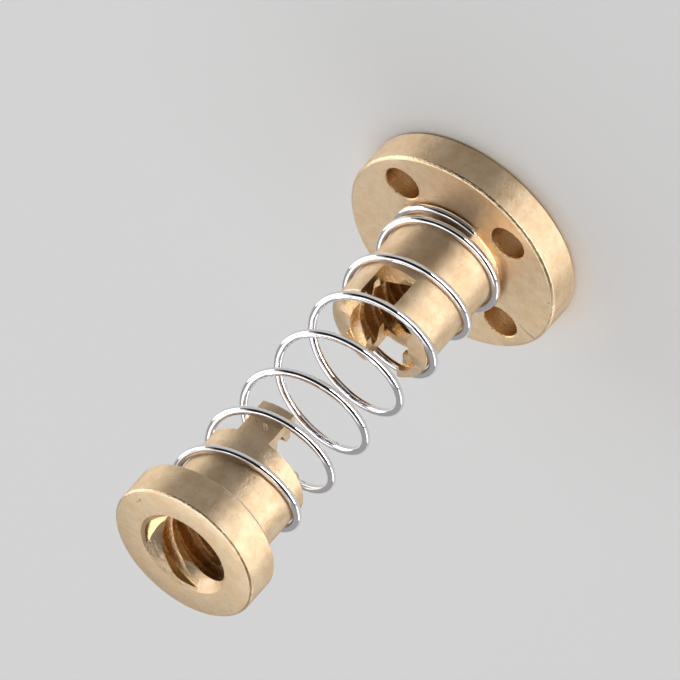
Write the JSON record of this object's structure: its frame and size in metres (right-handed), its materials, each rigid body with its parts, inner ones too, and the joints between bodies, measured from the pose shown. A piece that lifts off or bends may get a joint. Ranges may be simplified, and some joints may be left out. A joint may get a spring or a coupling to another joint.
{
  "type": "lead screw nut",
  "caption": "Spring-loaded anti-backlash nut for a lead screw: a flanged nut and a tongued collar nut held apart by a compression spring.",
  "frame": {"origin": "centre of the flange's mounting face", "axes": "+Z along the screw axis from the mounting face to the collar's front face, X and Y midway between the bolt holes, and the slots and tongues turned 6 degrees from Y"},
  "size_m": [0.022, 0.022, 0.0453],
  "materials": {
    "brass": "satin turned",
    "spring_steel": "polished"
  },
  "bodies": {
    "flange_nut": {"flange_nut": "brass", "spring": "spring_steel"},
    "collar_nut": {"collar_nut": "brass"}
  },
  "joints": [
    {"name": "collar_slide", "type": "slide", "parent": "flange_nut", "child": "collar_nut", "axis": [0, 0, -1], "range_m": [0, 0.0186], "stiffness_N_per_m": 450, "deforming": ["spring"]}
  ]
}
